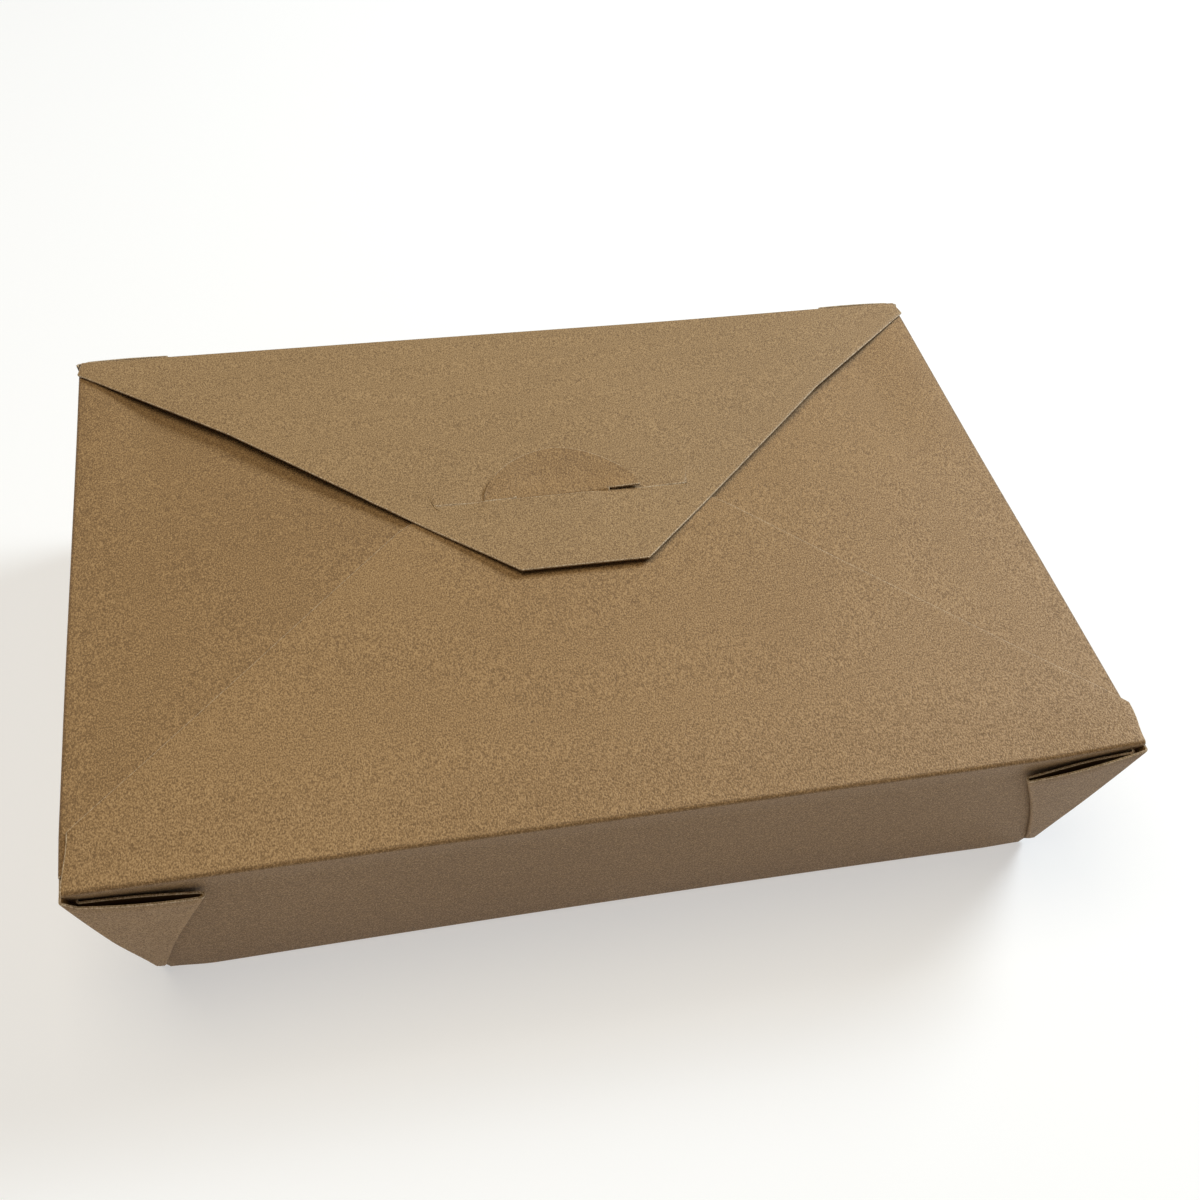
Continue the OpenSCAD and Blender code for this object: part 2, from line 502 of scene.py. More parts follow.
@dataclass(frozen=True)
class BoardStock:
    """The board that the whole box is cut from: its two faces and its cut edge.

    Args:
        arris: Size of the worn arris along a cut edge in millimetres.
        outside: Finish of the face that shows on the closed box.
        lid_painted_paler: Finish of that face on the lid flap, a copy painted a little paler as painted
            light.
        inside: Finish of the smoother face that touches the food.
        cut_edge: Finish of the core along a cut.
        frayed_edge_and_highlight: Finish of the pale fibres that stand up along the arris of a cut, made
            paler still as a painted highlight.
    """

    arris: float = 0.19
    outside: KraftFinish = KraftFinish("kraft_outside")
    # Painted light: the lid flap's copy of the outside finish is painted a little paler
    lid_painted_paler: KraftFinish = KraftFinish(
        "kraft_lid_outside", light=(0.415, 0.265, 0.123), mid=(0.290, 0.175, 0.071),
        dark=(0.169, 0.094, 0.034),
    )
    inside: KraftFinish = KraftFinish("kraft_inside", roughness=0.5, relief=0.00003, sheen=0.0)
    cut_edge: KraftFinish = KraftFinish(
        "kraft_cut_edge", light=(0.36, 0.25, 0.14), mid=(0.24, 0.155, 0.08), dark=(0.14, 0.09, 0.04),
        roughness=0.85, shows_painted_light=False,
    )
    # Partly painted highlight: pale frayed fibres, made paler still so the cut edges show as light lines
    frayed_edge_and_highlight: KraftFinish = KraftFinish(
        "kraft_worn_edge", light=(0.66, 0.53, 0.37), mid=(0.46, 0.34, 0.21), dark=(0.27, 0.18, 0.10),
        roughness=0.85, shows_painted_light=False,
    )

    def materials(self) -> tuple[list[bpy.types.Material], list[bpy.types.Material]]:
        """Builds the materials.

        Returns:
            Those of the carton and those of the lid flap, each in the order of Side.
        """
        shared = [finish.build() for finish in (self.inside, self.cut_edge, self.frayed_edge_and_highlight)]
        return [self.outside.build(), *shared], [self.lid_painted_paler.build(), *shared]


@dataclass(frozen=True)
class Wall:
    """A wall that leans out from the base, up to the corner of its rim fold.

    Args:
        ahead: Level direction from the middle of the base to the wall.
        base_out: Distance from the middle to the wall's foot.
        rim_out: Distance from the middle to the corner of the rim fold.
        rim_z: Height of that corner.
        base_half: Half length of the wall at its foot.
        rim_half: Half length of the wall at its rim.
        base_r: Radius of the fold at the foot.
        rows: Rows of faces up the wall.
        painted_light: Painted shade of the wall, which makes its colour darker than the flaps'.
    """

    ahead: Vector
    base_out: float
    rim_out: float
    rim_z: float
    base_half: float
    rim_half: float
    base_r: float = 1.6
    rows: int = 12
    painted_light: float = -0.2

    @property
    def lean(self) -> float:
        """Angle in radians by which the wall leans out."""
        return math.atan((self.rim_out - self.base_out) / self.rim_z)

    @property
    def foot_turn(self) -> float:
        """Angle of the fold between base and wall."""
        return math.pi / 2 - self.lean

    @property
    def rim_turn(self) -> float:
        """Angle of the fold between wall and flap."""
        return math.pi / 2 + self.lean

    @property
    def base_edge(self) -> float:
        """Distance from the middle to the line where the flat base ends."""
        return self.base_out - self.base_r * math.tan(self.foot_turn / 2)

    @property
    def up(self) -> Vector:
        """Direction up the wall's slope."""
        return Vector((0, 0, 1)) * math.cos(self.lean) + self.ahead * math.sin(self.lean)

    @property
    def outward(self) -> Vector:
        """Direction in which the wall's outside faces."""
        return self.ahead * math.cos(self.lean) - Vector((0, 0, 1)) * math.sin(self.lean)

    def rim_tangent(self, radius: float) -> float:
        """Returns how far below its corner a rim fold of the given radius starts."""
        return radius * math.tan(self.rim_turn / 2)

    def grow(self, sheet: Sheet, edges: list[BMEdge], short: float) -> list[BMEdge]:
        """Folds the wall up from the base and lets it widen towards the rim.

        Args:
            sheet: The sheet that grows.
            edges: The base's edges.
            short: How far below the corner of the rim fold the wall ends, along its slope.

        Returns:
            The edges along the wall's top.
        """
        row = sheet.fold(edges, Vector((0, 0, -1)), self.ahead, self.base_r, self.foot_turn, 6)
        # Painted shade: the wall's colour is darkened from its foot up, and all that grows from it takes
        # this over
        sheet.shade(row, self.painted_light)
        across = Vector((abs(self.ahead.y), abs(self.ahead.x), 0.0))
        foot_half = Sheet.half(row, 0 if across.x else 1)
        foot_z = row[0].verts[0].co.z
        top_z = self.rim_z - short * math.cos(self.lean)
        climb = (top_z - foot_z) / math.cos(self.lean)

        def place(start: Vector, share: float) -> Vector:
            """Moves a vertex up the wall and outwards along it."""
            half = mix(self.base_half, self.rim_half, mix(foot_z, top_z, share) / self.rim_z)
            half = mix(foot_half, half, smooth_step(0.0, 0.06, share))
            along = start.dot(across)
            return start + self.up * climb * share + across * (along * half / foot_half - along)

        return sheet.grow(row, self.rows, place)


@dataclass(frozen=True)
class Layers:
    """Heights at which the board's outside faces lie on each other, and places of the rim folds.

    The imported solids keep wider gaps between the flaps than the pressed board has.

    Args:
        side_z: Height of the side flaps at their folds.
        front_z: Height of the front flap at its fold.
        lid_z: Height of the lid flap at its fold.
        side_out: Distance from the middle to the side folds.
        long_out: Distance from the middle to the front and rear folds.
        fold_gap: Gap between a long wall's end and its side wall, beside the board itself.
    """

    side_z: float = 47.9
    front_z: float = 48.5
    lid_z: float = 48.6
    side_out: float = 108.4
    long_out: float = 80.8
    fold_gap: float = 0.1

    def long_wall(self, sizes: BoxSizes, end: float, rim_z: float) -> Wall:
        """Makes the plan of the front or the rear wall, which stand between the side walls.

        Args:
            sizes: Sizes of the box.
            end: -1 for the front, 1 for the rear.
            rim_z: Height of the corner of its rim fold.

        Returns:
            The wall.
        """
        gap = sizes.board + self.fold_gap
        return Wall(
            Vector((0.0, end, 0.0)), sizes.base_w / 2, self.long_out, rim_z,
            sizes.base_l / 2 - gap, self.side_out - gap,
        )


@dataclass(frozen=True)
class LidFlap:
    """The rear flap with its fold, its crease, its slit and its raised tip.

    Args:
        sizes: Sizes of the box.
        layers: Heights and places of the folds.
        columns: Cells across the flap.
        fold_r: Radius of the fold at the rear rim.
        tail: Length of rear wall that the piece has below its fold.
        fold_half: Half width at the fold.
        ear_half: Half width at the ears, which stand a little further out.
        ear_y: Place where the ears end and the diagonal edges start.
        bend_y: Place of the slight bend in the diagonal edges.
        bend_half: Half width at that bend.
        tip_y: Place of the tip's edge.
        tip_half: Half width of the tip.
        shear: How far the flap leans to the right for each millimetre forward.
        slope: Rise of the flap for each millimetre forward.
        arch: Height of its gentle bulge.
        tip_lift: Extra rise of the tip.
        crease_y: Place of the crease.
        slit_half: Half length of the slit.
        slit_dip: How far the slit lies in front of the crease.
        lip_rise: How far the slit's front lip stands up along the tongue's neck.
        lip_press: How far the slit's rear lip is pressed down under the tongue.
        wave: Height of the board's waviness.
        crease: Depth of the crease on either side of the slit.
    """

    sizes: BoxSizes
    layers: Layers
    columns: int = 96
    fold_r: float = 0.9
    tail: float = 0.9
    fold_half: float = 107.5
    ear_half: float = 108.3
    ear_y: float = 75.0
    bend_y: float = 45.0
    bend_half: float = 73.5
    tip_y: float = -13.4
    tip_half: float = 14.55
    shear: float = 0.026
    slope: float = 0.0201
    arch: float = 0.28
    tip_lift: float = 0.7
    crease_y: float = 15.3
    slit_half: float = 30.9
    slit_dip: float = 3.5
    lip_rise: float = 0.32
    lip_press: float = 0.30
    wave: float = 0.13
    crease: float = 0.13

    @property
    def wall(self) -> Wall:
        """The rear wall, which carries the flap."""
        return self.layers.long_wall(self.sizes, 1.0, self.layers.lid_z)

    @property
    def root_y(self) -> float:
        """Place along Y where the flat flap starts."""
        return self.layers.long_out - self.wall.rim_tangent(self.fold_r)

    @property
    def slit_y(self) -> float:
        """Place of the slit's straight middle."""
        return self.crease_y - self.slit_dip

    def half_at(self, y: float) -> float:
        """Returns the half width of the flap at a place along Y."""
        if y > self.ear_y:
            return mix(self.ear_half, self.fold_half, (y - self.ear_y) / (self.root_y - self.ear_y))
        if y > self.bend_y:
            return mix(self.ear_half, self.bend_half, (self.ear_y - y) / (self.ear_y - self.bend_y))
        return mix(self.bend_half, self.tip_half, (self.bend_y - y) / (self.bend_y - self.tip_y))

    def middle_at(self, y: float) -> float:
        """Returns the middle of the flap at a place along Y."""
        return self.shear * max(0.0, self.ear_y - y)

    def height_at(self, x: float, y: float) -> float:
        """Returns the height of the flap's outside face at a place, without the lips of the slit."""
        run = self.root_y - y
        rise = self.slope * run + self.tip_lift * smooth_step(8.0, self.tip_y, y)
        bulge = self.arch * math.sin(math.pi * min(1.0, max(0.0, run) / 74.0))
        wave = self.wave * waves(x, y, 36.0, 4.2) * smooth_step(0.0, 18.0, run)
        fold = -self.crease * math.exp(-((y - self.crease_y) / 0.9) ** 2) * smooth_step(30.0, 33.0, abs(x))
        return self.layers.lid_z + rise + bulge + wave + fold

    def slit_offset(self, column: float) -> float:
        """Returns how far the crease's row runs in front of the crease, at a distance from the middle."""
        return self.slit_dip * smooth_step(self.slit_half - 0.2, self.slit_half - 1.0, abs(column))

    def build(self, stock: BoardStock, finishes: list[bpy.types.Material]) -> bpy.types.Object:
        """Makes the lid flap.

        Args:
            stock: The board.
            finishes: Its materials.

        Returns:
            The finished object.
        """
        sheet = Sheet("lid_flap_sheet")
        wall = self.wall
        corner = Vector((0.0, self.layers.long_out, self.layers.lid_z))
        start = corner - wall.up * (wall.rim_tangent(self.fold_r) + self.tail)
        step = 2 * self.fold_half / self.columns
        row = sheet.strip(
            Vector((-self.fold_half + step * i, start.y, start.z)) for i in range(self.columns + 1)
        )
        row = sheet.grow(row, 1, lambda place, share: place + wall.up * self.tail * share)
        row = sheet.fold(row, wall.outward, wall.up, self.fold_r, wall.rim_turn, 8)
        row = self.grow_flat(sheet, row, self.root_y, self.ear_y, 3)
        row = self.grow_flat(sheet, row, self.ear_y, self.bend_y, 14)
        row = self.grow_flat(sheet, row, self.bend_y, self.crease_y, 16)
        slit_row = list(row)
        self.grow_flat(sheet, row, self.crease_y, self.tip_y, 18)
        for vert in sheet.bm.verts:
            if vert.co.y < self.root_y - NEAR and vert.co.z > self.layers.lid_z - NEAR:
                vert.co.z = self.height_at(vert.co.x, vert.co.y)
        self.cut_slit(sheet, slit_row)
        for vert in sheet.bm.verts:
            vert.co = lifted(vert.co)
        return sheet.finish(self.sizes.board, stock.arris, Vector((0, 0, 1)), finishes)

    def grow_flat(self, sheet: Sheet, row: list[BMEdge], from_y: float, to_y: float, rows: int
                  ) -> list[BMEdge]:
        """Grows a stretch of the flap, level with its fold.

        Args:
            sheet: The sheet that grows.
            row: The edges to grow from.
            from_y: Where the stretch starts.
            to_y: Where it ends.
            rows: Rows of faces.

        Returns:
            The edges of the last row.
        """

        def place(start: Vector, share: float) -> Vector:
            """Moves a vertex forward and in with the flap's outline."""
            y = mix(from_y, to_y, share)
            column = (start.x - self.middle_at(from_y)) / self.half_at(from_y) * self.half_at(y)
            near = max(0.0, 1.0 - abs(y - self.crease_y) / 9.0)
            dip = self.slit_offset(column) * near
            return Vector((self.middle_at(y) + column, y - dip, self.layers.lid_z))

        return sheet.grow(row, rows, place)

    def cut_slit(self, sheet: Sheet, row: list[BMEdge]) -> None:
        """Cuts the slit along the crease's row, lifts its front lip and presses its rear lip down.

        Args:
            sheet: The sheet that is cut.
            row: The edges along the crease and the slit.
        """
        middle = self.middle_at(self.crease_y)
        cut = [
            edge for edge in row if all(abs(vert.co.x - middle) <= self.slit_half for vert in edge.verts)
        ]
        bmesh.ops.split_edges(sheet.bm, edges=cut)
        for vert in sheet.bm.verts:
            place = vert.co
            column = place.x - middle
            if abs(column) > self.slit_half or abs(place.y - self.slit_y) > 16.0:
                continue
            if place.z < self.layers.lid_z + 0.3:
                continue
            faces = [face.calc_center_median().y for face in vert.link_faces]
            line = self.crease_y - self.slit_offset(column)
            if sum(faces) / len(faces) < line - 0.02:
                neck = smooth_step(-23.0, -16.0, column) * smooth_step(10.5, 5.5, column)
                place.z += self.lip_rise * neck * math.exp(-((line - place.y) / 5.0) ** 2)
                if place.y > line - 0.05:
                    place.y -= 0.03 + 0.17 * smooth_step(-13.0, -10.0, column) * neck
            else:
                under = smooth_step(25.0, 17.0, abs(column))
                place.z -= self.lip_press * under * math.exp(-((place.y - line) / 6.0) ** 2)
                if under == 0.0:
                    place.z += 0.12 * smooth_step(6.0, 0.0, place.y - line)


@dataclass(frozen=True)
class Tongue:
    """The neck that climbs through the slit and the half-moon that lies on the lid flap.

    Args:
        sizes: Sizes of the box.
        lid: The lid flap under the half-moon.
        middle: Place of the half-moon's middle along X.
        width: Width of the half-moon.
        length: Length of the half-moon behind the slit.
        neck_half: Half width of the neck.
        rest_gap: Gap between the half-moon and the lid flap.
        shoulder: How far the right shoulder stands up.
        tip_lift: How far the half-moon's rear edge stands up.
        left_lift: How much further its left edge stands up.
        flush: How far its left shoulder sinks into the slit.
        nip: How far the shoulders' front edges stand forward.
        rim: Width of the half-moon's rim, which carries a painted highlight.
        painted_light: Painted shade on the half-moon, which is bent away from the light.
        rim_painted_highlight: Painted highlight along its rim, where its edge catches the light.
    """

    sizes: BoxSizes
    lid: LidFlap
    middle: float = 1.8
    width: float = 37.0
    length: float = 16.2
    neck_half: float = 11.3
    rest_gap: float = 0.06
    shoulder: float = 0.75
    tip_lift: float = 0.5
    left_lift: float = 0.5
    flush: float = 0.12
    nip: float = 0.26
    rim: float = 0.4
    painted_light: float = -0.07
    rim_painted_highlight: float = 0.32

    @property
    def end_y(self) -> float:
        """Place along Y where the neck ends and the half-moon starts."""
        return self.lid.slit_y + 0.35

    def reach_at(self, x: float) -> float:
        """Returns the length of the half-moon at a place along X."""
        side = min(1.0, abs(x - self.middle) / (self.width / 2))
        return max(0.02, self.length * (1.0 - side ** 1.6) ** 0.62)

    def height_at(self, x: float, y: float) -> float:
        """Returns the height of the half-moon's outside face at a place."""
        side = x - self.middle
        from_slit = y - self.lid.slit_y
        press = self.lid.lip_press * math.exp(-((from_slit / 6.0) ** 2))
        lift = self.shoulder * smooth_step(4.0, 17.0, side) * smooth_step(13.0, 0.0, from_slit)
        tip = self.tip_lift * smooth_step(4.0, 15.0, from_slit)
        tip += self.left_lift * smooth_step(-3.0, -14.0, side) * smooth_step(1.0, 5.0, from_slit)
        flush = -self.flush * smooth_step(-7.0, -11.0, side) * smooth_step(6.0, 0.0, from_slit)
        return self.lid.height_at(x, y) + self.sizes.board + self.rest_gap - press + lift + tip + flush

    def grow(self, sheet: Sheet, row: list[BMEdge]) -> None:
        """Makes the tongue.

        Args:
            sheet: The sheet that grows.
            row: The front flap's rear edges.
        """
        neck = [
            edge for edge in row if all(abs(vert.co.x - self.middle) < self.neck_half for vert in edge.verts)
        ]

        def neck_place(start: Vector, share: float) -> Vector:
            """Lets the neck climb from under the front lip to the top of the rear lip."""
            y = mix(start.y, self.end_y, share)
            climb = smooth_step(self.lid.slit_y - 1.0, self.end_y, y)
            return Vector((start.x, y, mix(start.z, self.height_at(start.x, self.end_y), climb)))

        def moon_row(share: float) -> Place:
            """Returns the placing of the half-moon's row at a share of its length."""

            def place(start: Vector, _: float) -> Vector:
                """Puts a vertex on that row."""
                y = self.end_y + (self.reach_at(start.x) - self.rim) * share
                return Vector((start.x, y, self.height_at(start.x, y)))

            return place

        def rim_place(start: Vector, share: float) -> Vector:
            """Adds the half-moon's rim."""
            y = start.y + self.rim * share
            return Vector((start.x, y, self.height_at(start.x, y)))

        ends = sheet.grow(neck, 12, neck_place)
        rows = ends
        # Painted shade darkens the half-moon more towards its rear, and a painted highlight lines its rim
        for step in range(1, 13):
            rows = sheet.grow(rows, 1, moon_row(step / 12))
            sheet.shade(rows, self.painted_light * smooth_step(2.0, 8.0, step))
        sheet.shade(sheet.grow(rows, 1, rim_place), self.rim_painted_highlight)
        places = [vert.co.x for edge in ends for vert in edge.verts]
        for side, edge_x in ((-1.0, min(places)), (1.0, max(places))):
            self.grow_lobe(sheet, side, edge_x)

    def grow_lobe(self, sheet: Sheet, side: float, edge_x: float) -> None:
        """Spreads one shoulder of the half-moon out from the neck's edge.

        Args:
            sheet: The sheet that grows.
            side: -1 for the left, 1 for the right.
            edge_x: Place of the neck's edge along X.
        """
        column = sheet.open_edges(
            lambda place: abs(place.x - edge_x) < WELD and place.y > self.end_y - NEAR
            and place.z > self.lid.layers.lid_z
        )
        full = self.reach_at(edge_x)

        def place(start: Vector, share: float) -> Vector:
            """Moves a vertex sideways and shortens its column with the arc."""
            x = mix(edge_x, self.middle + side * self.width / 2, share)
            y = self.end_y + (start.y - self.end_y) * self.reach_at(x) / full
            y -= self.nip * smooth_step(0.0, 0.15, share) * smooth_step(3.0, 0.0, y - self.end_y)
            return Vector((x, y, self.height_at(x, y)))

        sheet.grow(column, 12, place)


@dataclass(frozen=True)
class FrontFlap:
    """The front wall, its rim fold and the flap that carries the tongue.

    Args:
        sizes: Sizes of the box.
        layers: Heights and places of the folds.
        tongue: The tongue.
        fold_r: Radius of the rim fold.
        ear_y: Place where the ears end and the diagonal edges start.
        end_y: Place of the rear edge.
        end_half: Half width of the rear edge.
        rise: How far the rear edge stands above the fold.
        crown: Height of the flap's gentle bulge.
        shift: How far the flap lies to the right of its fold.
        skew: How far it is turned, as it was folded off true, in radians.
        chamfer: Size of the cut at the rear corners.
        wave: Height of the board's waviness.
    """

    sizes: BoxSizes
    layers: Layers
    tongue: Tongue
    fold_r: float = 0.8
    ear_y: float = -69.3
    end_y: float = 7.8
    end_half: float = 35.6
    rise: float = 0.8
    crown: float = 0.25
    shift: float = 1.0
    skew: float = 0.0093
    chamfer: float = 0.8
    wave: float = 0.12

    @property
    def wall(self) -> Wall:
        """The front wall."""
        return self.layers.long_wall(self.sizes, -1.0, self.layers.front_z)

    def height_at(self, x: float, y: float) -> float:
        """Returns the height of the flap's outside face at a place."""
        share = (y + self.layers.long_out) / (self.end_y + self.layers.long_out)
        near = smooth_step(0.02, 0.2, share)
        across = math.cos(math.pi * min(1.0, abs(x) / 190.0))
        bulge = self.crown * math.sin(math.pi * min(1.0, share)) * across
        wave = self.wave * waves(x, y, 40.0, 1.7)
        return self.layers.front_z + self.rise * share + (wave + bulge) * near

    def grow(self, sheet: Sheet, edges: list[BMEdge]) -> None:
        """Makes the wall, the flap and the tongue.

        Args:
            sheet: The sheet that grows.
            edges: The base's front edges.
        """
        wall = self.wall
        row = wall.grow(sheet, edges, wall.rim_tangent(self.fold_r))
        row = sheet.fold(row, wall.outward, wall.up, self.fold_r, wall.rim_turn, 8)
        # The flap ends the wall's painted shade: it carries none of its own
        sheet.shade(row, 0.0)
        root_y = row[0].verts[0].co.y
        root_half = Sheet.half(row, 0)
        end_y = self.end_y

        def stretch(from_y: float, from_half: float, to_y: float, to_half: float) -> Place:
            """Returns the placing of rows between two places along Y."""

            def place(start: Vector, share: float) -> Vector:
                """Moves a vertex back over the box and in with the flap's outline."""
                column = columns[round(start.x, 4), round(start.y, 4)]
                y = mix(from_y, to_y, share)
                x = column * mix(from_half, to_half, share)
                corner = max(0.0, (abs(column) - 0.94) / 0.06) * smooth_step(end_y - 3.0, end_y, y)
                off = smooth_step(root_y, root_y + 9.0, y)
                x += self.shift * off
                y -= self.skew * x * off + self.chamfer * corner
                return Vector((x, y, self.height_at(x, y)))

            return place

        columns = self.columns_of(row)
        row = sheet.grow(row, 5, stretch(root_y, root_half, self.ear_y, root_half))
        columns = self.columns_of(row)
        row = sheet.grow(row, 38, stretch(self.ear_y, root_half, end_y, self.end_half))
        self.tongue.grow(sheet, row)

    @staticmethod
    def columns_of(row: list[BMEdge]) -> dict[tuple[float, float], float]:
        """Returns each vertex's column, from -1 at the left to 1 at the right, by its place."""
        places = sorted({(vert.co.x, vert.co.y) for edge in row for vert in edge.verts})
        last = len(places) - 1
        return {
            (round(x, 4), round(y, 4)): 2.0 * count / last - 1.0
            for count, (x, y) in enumerate(places)
        }


@dataclass(frozen=True)
class WebCorner:
    """A corner web, folded flat against the outside of a long wall in two layers.

    Args:
        sizes: Sizes of the box.
        length: Length of the web's top edge.
        wall_gap: Gap at the top between the long wall and the inner layer.
        layer_gap: Gap at the top between the two layers.
        bow: Extra opening between the layers half way along.
        spring: How far the web's inner end springs away from the wall.
        fold_r: Radius of the fold between side wall and web.
        drop: How far the top edge lies below the side wall's end.
        slant: Fall of the top edge for each millimetre away from the corner.
        painted_light: Painted light on the outer layer, lighter above 0 and darker below.
        fold_painted_light: Painted light along the fold between the layers: a painted highlight above 0, a
            painted shade below.
        inner_painted_shade: Painted shade of the inner layer, which never sees the light. Below -0.3 it dims
            all fibres too.
    """

    sizes: BoxSizes
    length: float = 20.8
    wall_gap: float = 0.6
    layer_gap: float = 0.5
    bow: float = 0.5
    spring: float = 0.6
    fold_r: float = 0.8
    drop: float = -0.25
    slant: float = 0.0
    painted_light: float = -0.12
    fold_painted_light: float = 0.0
    inner_painted_shade: float = -0.9

    @property
    def depth(self) -> float:
        """How far the outside of the web stands off the long wall at the top."""
        return self.wall_gap + self.layer_gap + 2 * self.sizes.board

    def grow(self, sheet: Sheet, column: list[BMEdge], wall: Wall, end: float) -> None:
        """Makes the web.

        Args:
            sheet: The sheet that grows.
            column: The edges along the side wall's end.
            wall: The side wall.
            end: -1 for the front, 1 for the rear.
        """
        places = [vert.co for edge in column for vert in edge.verts]
        low = min(places, key=lambda place: place.z).copy()
        high = max(places, key=lambda place: place.z).copy()
        rise = (high - low).normalized()
        inward = -wall.ahead
        face = rise.cross(inward)
        if face.y * end < 0:
            face.negate()
        face.normalize()
        turn = wall.outward.angle(face)
        ahead = (face - wall.outward * wall.outward.dot(face)).normalized()

        def level(start: Vector) -> float:
            """Returns how far up the web a vertex lies, from 0 to 1."""
            return max(0.0, (start.z - low.z) / (high.z - low.z))

        def around(start: Vector, share: float, radius: float, towards: Vector) -> Vector:
            """Turns a vertex half a turn from the outer side to the inner one."""
            angle = math.pi * share
            return start - face * radius + (face * math.cos(angle) + towards * math.sin(angle)) * radius

        def corner_place(start: Vector, share: float) -> Vector:
            """Turns the sheet round the box's corner."""
            angle = turn * share
            centre = start - wall.outward * self.fold_r
            return centre + (wall.outward * math.cos(angle) + ahead * math.sin(angle)) * self.fold_r

        def outer_place(start: Vector, share: float) -> Vector:
            """Lays the outer layer along the long wall."""
            up = level(start)
            along = (self.length * up - self.fold_r) * share
            fall = (self.drop * smooth_step(0.0, 0.07, share) + self.slant * along) * up
            bow = (self.bow * math.sin(math.pi * share) + self.spring * share) * up * up
            return start + inward * along - rise * fall + face * bow

        def inner_place(start: Vector, share: float) -> Vector:
            """Brings the inner layer back to the corner."""
            up = level(start)
            along = (self.length * up - 0.3) * share
            bow = (0.6 * self.bow * math.sin(math.pi * share) + self.spring * share) * up * up
            return start - inward * along + rise * self.slant * along * up - face * bow

        def fold_place(start: Vector, share: float) -> Vector:
            """Turns the outer layer back into the inner one."""
            gap = mix(0.05, self.layer_gap, level(start))
            return around(start, share, self.sizes.board + 0.5 * gap, inward)

        def root_place(start: Vector, share: float) -> Vector:
            """Turns the inner layer towards the long wall's end."""
            return around(start, share, 0.5 * mix(0.05, self.wall_gap, level(start)) + 0.02, -inward)

        # Painted light on the outer layer and along the fold between the layers, and painted shade over the
        # whole inner layer in the dark pocket
        sheet.shade(column, self.painted_light)
        row = sheet.grow(column, 6, corner_place)
        row = sheet.grow(row, 14, outer_place)
        sheet.shade(row, self.fold_painted_light)
        row = sheet.grow(row, 8, fold_place)
        sheet.shade(row, self.inner_painted_shade)
        row = sheet.grow(row, 14, inner_place)
        sheet.grow(row, 6, root_place)


@dataclass(frozen=True)
class SidePanel:
    """A side wall with its rim fold, its flap and its two web corners.

    Args:
        sizes: Sizes of the box.
        layers: Heights and places of the folds.
        webs: The rear and the front web corner.
        side: -1 for the left, 1 for the right.
        fold_r: Radius of the rim fold.
        set_back: Distance from the flap's ends to the wall's ends.
        reach: How far the flap reaches in from its rim.
        end_half: Half width of the flap's inner end.
        rise: How far the flap springs up towards its inner end.
        sag: How far it sags under the lid flap.
        wave: Height of the board's waviness.
        painted_light: Painted light on the flap, lighter above 0 and darker below.
    """

    sizes: BoxSizes
    layers: Layers
    webs: tuple[WebCorner, WebCorner]
    side: float
    fold_r: float = 0.9
    set_back: float = 3.4
    reach: float = 76.0
    end_half: float = 20.0
    rise: float = 0.6
    sag: float = 0.9
    wave: float = 0.08
    painted_light: float = 0.0

    @property
    def wall(self) -> Wall:
        """The side wall, which reaches round the ends of the long walls."""
        web = self.webs[0]
        foot = 2 * self.sizes.board + self.layers.fold_gap - web.fold_r
        return Wall(
            Vector((self.side, 0.0, 0.0)), self.sizes.base_l / 2, self.layers.side_out, self.layers.side_z,
            self.sizes.base_w / 2 + foot, self.layers.long_out + web.depth - web.fold_r,
        )

    def grow(self, sheet: Sheet, edges: list[BMEdge]) -> None:
        """Makes the wall, the flap and the webs.

        Args:
            sheet: The sheet that grows.
            edges: The base's edges on this side.
        """
        wall = self.wall
        row = wall.grow(sheet, edges, wall.rim_tangent(self.fold_r))
        ends = {end: self.end_column(sheet, end) for end in (1.0, -1.0)}
        reach = Sheet.half(row, 1)
        row = [edge for edge in row if all(abs(vert.co.y) < reach - self.set_back for vert in edge.verts)]
        row = sheet.fold(row, wall.outward, wall.up, self.fold_r, wall.rim_turn, 8)
        # The flap's painted light starts at its rim fold: above 0 it lightens, below 0 it darkens
        sheet.shade(row, self.painted_light)
        root_half = Sheet.half(row, 1)
        root_x = abs(row[0].verts[0].co.x)
        end_x = self.sizes.rim_l / 2 - self.reach

        def place(start: Vector, share: float) -> Vector:
            """Moves a vertex in over the box and narrows the flap."""
            x = mix(root_x, end_x, share)
            y = start.y * mix(1.0, self.end_half / root_half, share)
            lift = self.rise * math.sin(0.5 * math.pi * share)
            lift += self.wave * waves(self.side * x, y, 42.0, 9.1)
            lift -= self.sag * smooth_step(2.0, 40.0, y) * smooth_step(0.02, 0.25, share)
            return Vector((self.side * x, y, self.layers.side_z + lift * smooth_step(0.0, 0.1, share)))

        sheet.grow(row, 34, place)
        for (end, column), web in zip(ends.items(), self.webs):
            web.grow(sheet, column, wall, end)

    def end_column(self, sheet: Sheet, end: float) -> list[BMEdge]:
        """Returns the edges up one end of the wall.

        Args:
            sheet: The sheet.
            end: -1 for the front, 1 for the rear.
        """
        foot_x = self.sizes.base_l / 2 - 0.5
        foot_y = self.sizes.base_w / 2 - 2.5
        edges = sheet.open_edges(
            lambda place: place.x * self.side > foot_x and place.y * end > foot_y and place.z > 1.0
        )
        return [edge for edge in edges if abs(edge.verts[0].co.z - edge.verts[1].co.z) > 1.0]


